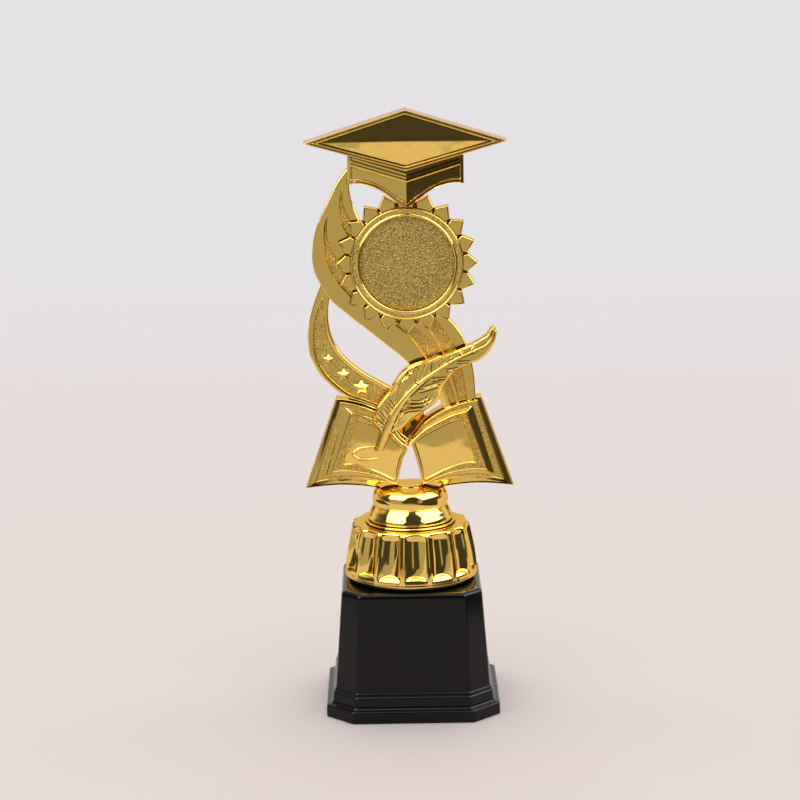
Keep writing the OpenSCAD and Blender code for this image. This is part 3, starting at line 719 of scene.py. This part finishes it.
def star(shells, x, z, size):
    """A five-pointed star with its five points creased, standing on the band."""
    foot, shoulder = -1.8, -2.2
    ring = []
    for i in range(10):
        a = math.radians(90 + 36 * i)
        r = size if i % 2 == 0 else size * 0.47
        ring.append((x + r * math.cos(a), z + r * math.sin(a)))
    verts = [(px, y, pz) for y in (foot, shoulder) for px, pz in ring]
    verts += [(x, foot, z), (x, shoulder - size * 0.27, z)]
    faces = []
    for i in range(10):
        j = (i + 1) % 10
        faces += [(j, i, 20), (i, j, 10 + j, 10 + i), (10 + i, 10 + j, 21)]
    shells.add(verts, faces)


# ---------- rosette ----------

ROSETTE_Z = 191.6
PETALS = 20


def around_rosette(radius, angle):
    return Vector((radius * math.sin(angle), ROSETTE_Z + radius * math.cos(angle)))


def on_rosette(x, y, h):
    """Places a turned point about the rosette's axis; h is how far it stands towards the front."""
    return x, -h, ROSETTE_Z + y


def sun_rosette():
    shells = Shells()
    groove = 22.7  # radius where the grained channel round the ring starts
    ring = [(0, 3.05), (25.4, 3.05), (25.6, 3.3), (25.6, 3.9), (24.2, 3.9), (23.6, 4.2), (23.5, 6.9), (23.48, 8.6),
            (23.38, 8.82), (23.2, 8.92), (23.0, 8.9), (22.88, 8.78), (groove, 8.72), (21.15, 8.72), (21.0, 8.8),
            (20.85, 8.98), (20.6, 9.05), (20.3, 9.0), (20.08, 8.8), (19.95, 8.5), (19.9, 6.85), (0, 6.85)]
    lathe(shells, ring, 240, on_rosette, [GRAIN if r == groove else MIRROR for r, _ in ring[:-1]])
    half, neck = math.radians(8.75), math.radians(7)
    for i in range(PETALS):
        a = 2 * math.pi * i / PETALS
        corners = [around_rosette(r, a + turn) for r, turn in (
            (30.1, 0), (26.0, -half), (22.8, -neck), (22.8, neck), (26.0, half))]
        contour(shells, eased(anticlockwise(corners), 0.35, 2), [
            (0, -3.12), (0, -4.2), (0.06, -5.0), (0.28, -6.6), (0.33, -6.78), (0.43, -6.93), (0.58, -7.0),
            (0.8, -7.02)])
    shells.piece("sun_rosette", [mirror, grained])


def medallion_disc():
    """The dull centre: a field of fine lumps that dies out at a thin smooth rim."""
    shells = Shells()
    reach, front, rings = 19.78, 6.98, 65

    def lumpy(x, y, h):
        lump = noise.noise(Vector((x * 1.7, y * 1.7, 4.0))) * 0.12
        return on_rosette(x, y, h + lump * min(1, max(0, reach - math.hypot(x, y)) / 0.8))

    profile = [(0, 6.86), (reach, 6.86), *[(reach * k / rings, front) for k in range(rings, 0, -1)], (0, 6.95)]
    lathe(shells, profile, 384, lumpy, GRAIN)
    shells.piece("medallion_disc", [mirror, crystal], sharp=60)


# ---------- cap ----------

BOARD = [Vector(q) for q in ((0, 230.9), (42.3, 242.7), (0, 256), (-42.3, 242.7))]
BOARD_MIDDLE = Vector((0, 243.2))
CROWN_HALF, CROWN_BACK = 24.2, -3.15
CROWN_ARC = [(-CROWN_HALF, 225.1), (-20, 225.3), (-16, 224.6), (-11.5, 223), (-7, 220.2), (-3.2, 217.4), (0, 215.4)]


def shrunk_board(share):
    return [BOARD_MIDDLE + (q - BOARD_MIDDLE) * (1 - share) for q in BOARD]


def skirt_path(share):
    """The board's rim from the crown's right side round the top to its left side."""
    low, right, top, left = shrunk_board(share)
    side = CROWN_HALF + 0.6
    return [low.lerp(right, side / right[0]), right, top, left, low.lerp(left, side / right[0])]


def cap_board():
    """A rim, a groove and a bead round a sunk diamond, whose middle stands forward; a skirt runs behind the rim."""
    shells = Shells()
    sunk, valley = 0.16, -11.4
    rings = [(0.012, -7.05), (0.0, -7.3), (0.0, -12.5), (0.004, -12.8), (0.012, -12.98), (0.02, -13.02),
             (0.05, -13.02), (0.056, -12.9), (0.06, -12.3), (0.072, -12.25), (0.077, -12.75), (0.085, -12.86),
             (0.128, -12.86), (0.137, -12.75), (0.145, -12.4), (0.15, -11.6), (sunk, valley)]
    rings += [(sunk + (1 - sunk) * t, valley - 1.6 * t) for t in (0.1, 0.25, 0.4, 0.55, 0.7, 0.85, 0.95, 0.985)]
    plate(shells, [(eased(shrunk_board(share), 0.7, 4, 24), y) for share, y in rings])
    contour(shells, skirt_path(0.0) + skirt_path(0.075)[::-1], [(0.2, 3.0), (0, 2.8), (0, -7.2)])
    for x in (-13, 13):
        pin(shells, x, 242.6, -7.2, -5.3)
    shells.piece("cap_board", [mirror], sharp=30)


def cap_crown():
    """Two halves that meet in a fold, each leaning back towards its outer corner, with mouldings along the lower edge
    and along the band above it. Recesses end at the upright rims of the outer corners."""
    shells = Shells()
    arc = spline(CROWN_ARC, 0.3)

    def arc_at(x):
        i = next(k for k in range(len(arc) - 1) if arc[k + 1][0] >= x - 1e-6)
        return arc[i].lerp(arc[i + 1], (x - arc[i][0]) / (arc[i + 1][0] - arc[i][0]))[1]

    def front(x, back):
        rim = smooth(22.4, 22.8, abs(x))
        ease = 0.3 * smooth(23.98, CROWN_HALF, abs(x))
        fold = -11.6 + 3.2 * abs(x) / CROWN_HALF
        return fold + (back if back > 1.5 else back * (1 - rim) - 0.15 * rim) + ease

    across = [-CROWN_HALF, -24.0, -22.95, -22.75, -22.45] + [-22 + 22 * k / 48 for k in range(49)]
    columns = []
    for x in across + [-x for x in reversed(across[:-1])]:
        low = arc_at(-abs(x))
        band = 226.2 + (233.2 - 226.2) * abs(x) / 23.5
        column = [(x, CROWN_BACK, low)]
        for up, back in ((0.0, 5.2), (0.0, 0.5), (0.1, 0.15), (0.35, -0.1), (0.8, -0.1), (0.95, 0.25), (1.15, 0.3),
                         (1.3, 0.05), (1.45, -0.05), (1.85, -0.05), (2.0, 0.1), (2.1, 0.45)):
            column.append((x, min(front(x, back), CROWN_BACK), low + up))
        for up, back in ((-0.35, 0.45), (-0.2, 0.1), (0.0, -0.15), (0.25, -0.3), (0.75, -0.3), (0.9, 0.1), (1.1, 0.1),
                         (1.25, -0.35), (2.05, -0.35), (2.25, -0.1), (2.3, 0.6), (3.4, 0.6), (3.5, 3.0)):
            column.append((x, front(x, back), max(band + up, low + 2.2 + 0.02 * up)))
        column.append((x, CROWN_BACK, max(band + 3.5, low + 2.6)))
        columns.append(column)
    shells.loft(columns, turned=True)
    contour(shells, [(-24.0, 236.6), (0, 229.5), (24.0, 236.6), (0, 249.5)], [(0, CROWN_BACK), (0, -7.0)])
    pin(shells, -19.6, 231.4, -3.3, -0.3)
    shells.piece("cap_crown", [mirror], sharp=24)


# ---------- quill ----------

RACHIS = [(36.2, 163.2), (35.4, 160), (33.6, 157.4), (30, 155.2), (25, 153.1), (20, 150.8), (15, 147.9), (10, 144.6),
          (5, 140.9), (0, 136.2), (-4, 131.2), (-7.2, 125.8), (-9.4, 120.6), (-11.4, 115.2), (-12.8, 111.8)]
QUILL_UPPER = [(36.3, 164.3), (34.9, 163.6), (33.4, 161.2), (30, 158.9), (27, 157.2), (22, 154.9), (17, 153.2),
               (12, 151.8), (8, 150.6), (4.2, 149.6), (0.4, 147.9), (-3.2, 145), (-6.2, 140.6), (-8.6, 136.8),
               (-11.4, 133.4), (-13.6, 130), (-14.9, 126.6), (-14.4, 123.2), (-12.2, 120.4), (-13.2, 116.6),
               (-14.7, 111.8)]
QUILL_LOWER = [(36.3, 164.3), (37.2, 162.6), (37, 160), (35.6, 156.4), (33.2, 152.9), (30, 150.3), (26.6, 148.8),
               (22.6, 147.2), (19, 144.8), (15.9, 141.2), (13.6, 137.2), (12.6, 133.6), (9.8, 131.0), (5.5, 128.1),
               (1.2, 125.2), (-2.8, 121.3), (-7.2, 119.4), (-9.8, 115.4), (-11.4, 111.6)]
BARBS = [  # ridge-and-groove lines across the vane
    [(-8, 120.8), (-5.2, 124.6), (-2.4, 128.4), (1.5, 129.2), (6.5, 129.6)],
    [(-1.6, 131.2), (3, 131), (7, 131.9), (9.8, 134)], [(0.4, 132.9), (4, 132.6), (8, 134.4)],
    [(4.2, 137.1), (8, 138.1), (12.4, 139.4)], [(5.8, 138.4), (9.4, 139.6), (13, 140.6)],
    [(9.6, 141.8), (12.6, 142.5), (16, 142.6)], [(15.6, 145.9), (20.8, 146.8)], [(20.5, 149.4), (25.8, 149.6)],
    [(-5.6, 131.6), (-3.6, 136.4), (-2.9, 140.3), (-0.6, 143.8), (2.4, 146.9)],
    [(-6.4, 130.6), (-5.6, 135.6), (-4.2, 140.4), (-0.6, 145.2), (3.6, 148.3), (8, 149.8)],
    [(2.6, 140.2), (3.9, 143.2), (4.9, 147)], [(6.2, 143.6), (7.3, 148.2)], [(9.5, 145.6), (10, 149.8)],
    [(12.6, 147.6), (14, 151.4)], [(17, 150.4), (18.4, 152.8)], [(21.4, 152.4), (23, 154.6)],
    [(26, 154.6), (27.6, 157)], [(-10, 130.6), (-8.4, 127.6)], [(-12.8, 128.8), (-10.4, 125.2)],
    [(-14.4, 125.6), (-11.2, 122.6)], [(-8.6, 133.6), (-6.4, 130.4)]]


def near_line(point, line):
    """Signed distance from a point to a line of points, and how far along the nearest place lies, 0 to 1."""
    best, side, along = 1e9, 1, 0
    for i in range(len(line) - 1):
        a, b = line[i], line[i + 1]
        d = b - a
        t = min(max((point - a).dot(d) / d.length_squared, 0), 1)
        gap = point - (a + d * t)
        if gap.length < best:
            best, along = gap.length, (i + t) / (len(line) - 1)
            side = 1 if d[0] * gap[1] - d[1] * gap[0] > 0 else -1
    return best * side, along


def quill_front(point, share, edge, upper, spine, barbs):
    """How the feather's front stands: nearly flat, with a flat-topped rib down its middle, barbs across it and a
    rolled edge. share is how far the point lies from the rib towards the outline, and edge its distance from that."""
    across, along = near_line(point, spine)
    half, groove = 0.5 + 1.15 * smooth(0.25, 0.95, along), 0.35
    front = -8.4 + 0.05 * share ** 4
    if abs(across) < half:
        front -= 0.75 * (1 - (across / half) ** 4) ** 0.5
    elif abs(across) < half + groove:
        front += 0.15 * math.sin(math.pi * (abs(across) - half) / groove)
    front += 0.85 * (1 - min(edge / 0.8, 1)) ** 2
    roll = 1.9
    if upper and edge < roll:
        front -= 0.45 * math.sin(math.pi * edge / roll) * smooth(0.3, 0.42, along) * (1 - smooth(0.62, 0.7, along))
    for line in barbs:
        if min(abs(point[0] - q[0]) + abs(point[1] - q[1]) for q in line) > 7:
            continue
        d, t = near_line(point, line)
        if abs(d) > 1.2:
            continue
        fade = smooth(0, 0.12, t) * (1 - smooth(0.94, 1.0, t) * 0.6)
        front += (0.26 * math.exp(-((d + 0.22) / 0.2) ** 2) - 0.18 * math.exp(-((d - 0.25) / 0.25) ** 2)) * fade
    return front


def quill_pen():
    """A solid lofted down the feather. Each section runs from the upper edge over the rib to the lower edge."""
    shells = Shells()
    rows, columns = 300, 26
    thinnest, side_front, back = -7.35, -7.2, -3.2
    upper, lower, spine = (spaced(spline(line, 0.3), rows) for line in (QUILL_UPPER, QUILL_LOWER, RACHIS))
    coarse = [Vector(q) for q in spine[::6]] + [Vector(spine[-1])]
    barbs = [spaced(spline(b, 0.5), 9) for b in BARBS]
    rings = []
    for middle, top, foot in zip(spine, upper, lower):
        section = []
        for k in range(-columns, columns + 1):
            rim, t = foot if k > 0 else top, abs(k) / columns
            at = middle.lerp(rim, t)
            front = quill_front(at, t, (rim - at).length, k <= 0, coarse, barbs)
            section.append((at[0], min(front, thinnest), at[1]))
        out = top - foot
        out = out.normalized() * 0.18 if out.length > 1e-6 else Vector((0, 0))
        for rim, share, y in ((foot, -1, side_front), (foot, -0.6, back), (top, 0.6, back), (top, 1, side_front)):
            at = rim + out * share
            section.append((at[0], y, at[1]))
        rings.append(section)
    shells.loft(rings, turned=True)
    shells.piece("quill_pen", [mirror], sharp=50)


# ---------- everything in place ----------

for make in (base_shell, bottom_cover, fluted_dome, neck_collar, book_cover, left_pages, right_pages, quill_pen,
             star_ribbon, swirl_ribbon, sun_rosette, medallion_disc, cap_crown, cap_board):
    make()
for name, look in (("tie_bolt", zinc_steel), ("tie_washer", zinc_steel), ("foot_nut", zinc_steel),
                   ("ballast_block", plaster)):
    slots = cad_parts[name].data.materials
    slots.clear()
    slots.append(look)


# ---------- light, floor and camera ----------

def softbox(name, azimuth, elevation, width, watts, height=0.95, distance=1.15):
    """An area light that faces the middle of the trophy and shows only in reflections."""
    a, e = math.radians(azimuth), math.radians(elevation)
    away = Vector((math.sin(a) * math.cos(e), -math.cos(a) * math.cos(e), math.sin(e)))
    data = bpy.data.lights.new(name, "AREA")
    data.shape, data.size, data.size_y = "RECTANGLE", width, height
    data.energy = watts
    light = bpy.data.objects.new(name, data)
    light.location = Vector((0, 0, 0.13)) + away * distance
    light.rotation_mode = "QUATERNION"
    light.rotation_quaternion = away.to_track_quat("Z", "Y")
    light.visible_camera = light.visible_diffuse = False
    bpy.context.scene.collection.objects.link(light)


def sheet(name, look, left, right, front, back, z=0, reflected_only=False):
    """A level rectangle of the stage."""
    mesh = bpy.data.meshes.new(name)
    mesh.from_pydata([(left, front, z), (right, front, z), (right, back, z), (left, back, z)], [], [(0, 1, 2, 3)])
    mesh.materials.append(look)
    made = bpy.data.objects.new(name, mesh)
    if reflected_only:
        made.visible_camera = made.visible_diffuse = made.visible_shadow = made.visible_transmission = False
    bpy.context.scene.collection.objects.link(made)


def card(name, left, right, front, back, radiance):
    """A glowing studio card that lies just above the floor."""
    look, tree, _ = material(name, (1, 1, 1), 0)
    glow = add(tree, "Emission", Color=(1, 0.965, 0.92), Strength=radiance)
    feed(tree, tree.nodes["Material Output"], Surface=glow.outputs["Emission"])
    sheet(name, look, left, right, front, back, 0.0006, True)


def floor(reach=12.0):
    """A matt table, warm near the trophy and cooler far behind it."""
    near, far = (0.79, 0.725, 0.71), (0.775, 0.775, 0.825)
    look, tree, surface = material("pale_floor", near, 0.0)
    split = add(tree, "SeparateXYZ", Vector=add(tree, "TexCoord").outputs["Object"])
    depth = add(tree, "MapRange", Value=split.outputs["Y"], From_Min=0.1, From_Max=1.4)
    depth.interpolation_type = "SMOOTHSTEP"
    feed(tree, surface, Base_Color=blend(tree, depth.outputs["Result"], near, far), Roughness=0.75,
         Specular_IOR_Level=0)
    sheet("floor", look, -reach, reach, -reach, reach)


def studio():
    """A pale surround for the camera. Reflections see a lamp overhead, a dim room in front and a pale wall behind."""
    world = bpy.data.worlds.new("studio")
    bpy.context.scene.world = world
    world.use_nodes = True
    tree = world.node_tree
    tree.nodes.clear()
    split = add(tree, "SeparateXYZ", Vector=add(tree, "TexCoord").outputs["Generated"])

    def ramp(axis, *stops):
        """A colour for each direction, from its X, Y or Z, which runs from -1 to 1."""
        share = add(tree, "MapRange", Value=split.outputs[axis], From_Min=-1).outputs["Result"]
        made = add(tree, "ValToRGB", Fac=share)
        made.color_ramp.interpolation = "EASE"
        while len(made.color_ramp.elements) < len(stops):
            made.color_ramp.elements.new(0.5)
        for element, (at, colour) in zip(made.color_ramp.elements, stops):
            element.position, element.color = (at + 1) / 2, (*colour, 1)
        return made.outputs["Color"]

    off, on = (0, 0, 0), (1, 1, 1)
    dim, lit, pale, brown = (0.06, 0.055, 0.05), (0.45, 0.43, 0.40), (0.78, 0.76, 0.76), (0.16, 0.12, 0.09)
    bays = ramp("X", (-0.93, dim), (-0.87, lit), (-0.45, lit), (-0.36, dim), (0.36, dim), (0.44, lit), (0.56, lit),
                (0.64, dim))
    front = blend(tree, ramp("Z", (0.22, off), (0.3, on)), bays, dim)
    behind = ramp("X", (-0.95, brown), (-0.85, pale), (-0.72, pale), (-0.64, brown), (-0.5, brown), (-0.4, pale),
                  (0.4, pale), (0.5, brown), (0.62, brown), (0.72, pale), (0.85, pale), (0.95, brown))
    around = blend(tree, ramp("Y", (-0.15, off), (0.25, on)), front, behind)
    whole = blend(tree, ramp("Z", (0.74, off), (0.82, on)), around, (2.1, 2.05, 2.0))
    mix = add(tree, "MixShader", Fac=add(tree, "LightPath").outputs["Is Camera Ray"])
    for socket, colour in zip(mix.inputs[1:], (whole, (0.74, 0.73, 0.78))):
        tree.links.new(add(tree, "Background", Color=colour).outputs["Background"], socket)
    feed(tree, tree.nodes.new("ShaderNodeOutputWorld"), Surface=mix.outputs["Shader"])


def camera():
    """The front view: from a metre in front, a little above the cap, looking down 11.6 degrees."""
    data = bpy.data.cameras.new("camera")
    data.sensor_width, data.lens = 36, 106.83
    at = (-0.005844, -0.991011, 0.335298)
    pitch, roll, yaw = 0.20239, -0.01524, 0.00215
    forward = Vector((math.sin(yaw) * math.cos(pitch), math.cos(yaw) * math.cos(pitch), -math.sin(pitch)))
    level = Vector((math.cos(yaw), -math.sin(yaw), 0))
    up = level.cross(forward)
    right = level * math.cos(roll) + up * math.sin(roll)
    up = up * math.cos(roll) - level * math.sin(roll)
    made = bpy.data.objects.new("camera", data)
    made.matrix_world = Matrix([(right[i], up[i], -forward[i], at[i]) for i in range(3)] + [(0, 0, 0, 1)])
    bpy.context.scene.collection.objects.link(made)
    bpy.context.scene.camera = made


camera()
floor()
studio()
softbox("left_softbox", -45, 39, 1.1, 12)
softbox("right_softbox", 74, 39, 1.7, 19)
card("far_card", -11.9, 0.27, -11.9, -0.6, 0.44)
card("right_card", 0.27, 11.9, -11.9, 0.0, 0.05)
card("left_card", -2.5, -0.33, -0.17, 0.3, 0.06)
bpy.context.scene.view_settings.view_transform = "Standard"
